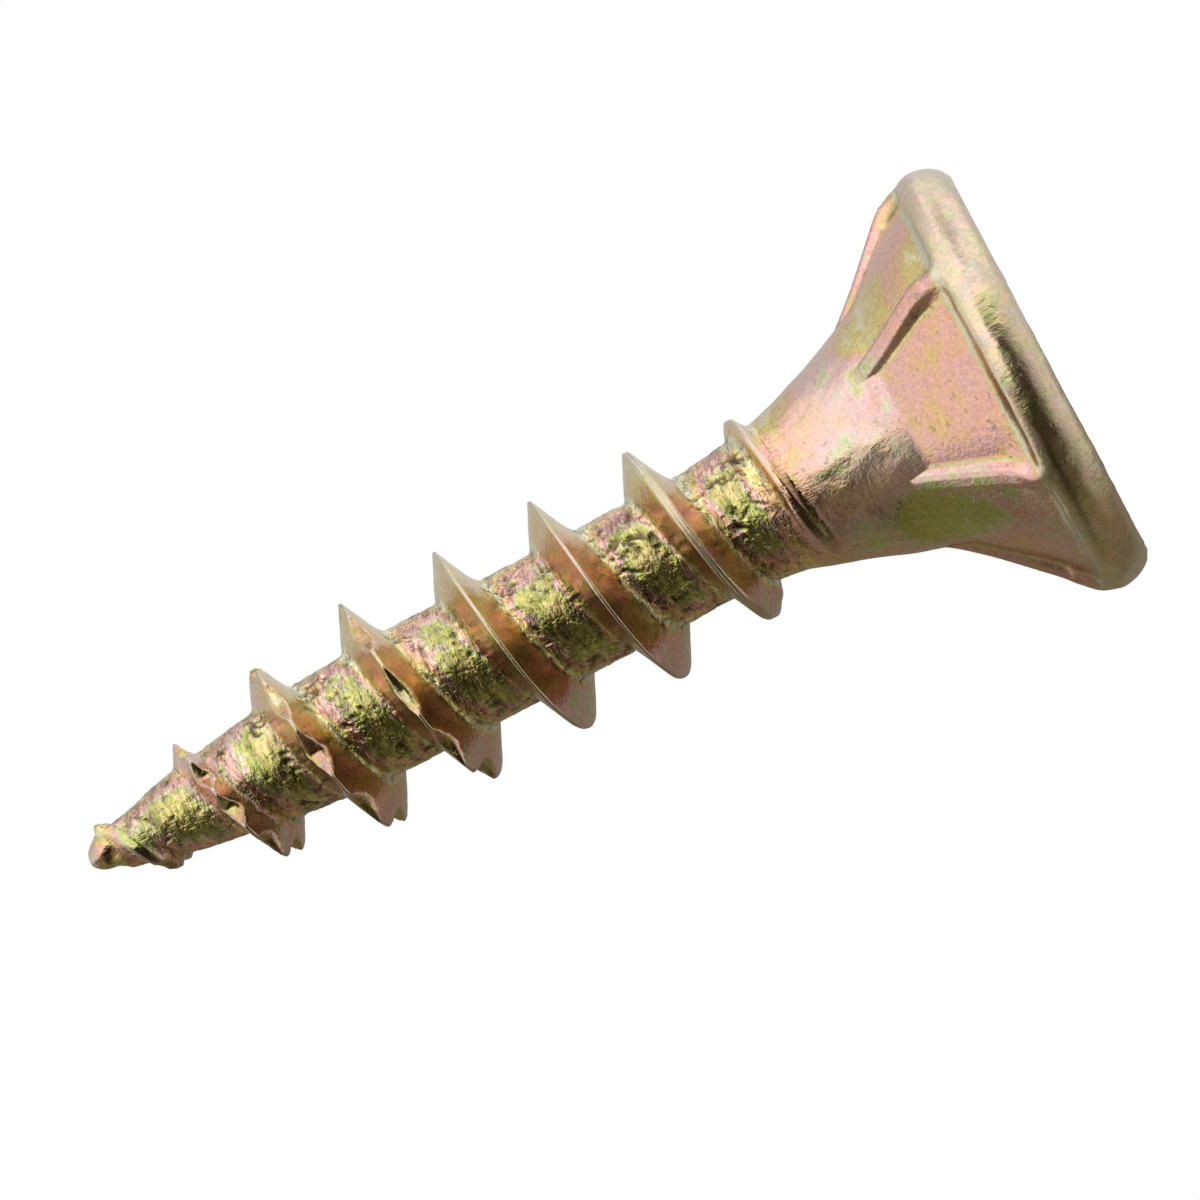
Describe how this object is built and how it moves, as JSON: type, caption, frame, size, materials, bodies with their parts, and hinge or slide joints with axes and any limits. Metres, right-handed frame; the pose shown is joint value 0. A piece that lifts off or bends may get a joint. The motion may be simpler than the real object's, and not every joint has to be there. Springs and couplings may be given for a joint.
{
  "type": "wood screw",
  "caption": "Short countersunk chipboard screw: ribbed flat head with a cross recess, flared neck and a deep single-start wood thread, notched towards its blunt point.",
  "frame": {"origin": "centre of the head's flat face", "axes": "+Z along the screw's axis, out of the head; the point is at -Z; +X is one arm of the cross recess"},
  "size_m": [0.0068, 0.0068, 0.016],
  "materials": {
    "zinc": "yellow-passivated zinc over cold-forged steel, glossy, iridescent gold with pink and green tints"
  },
  "bodies": {
    "root": {"screw": "zinc"}
  },
  "joints": []
}
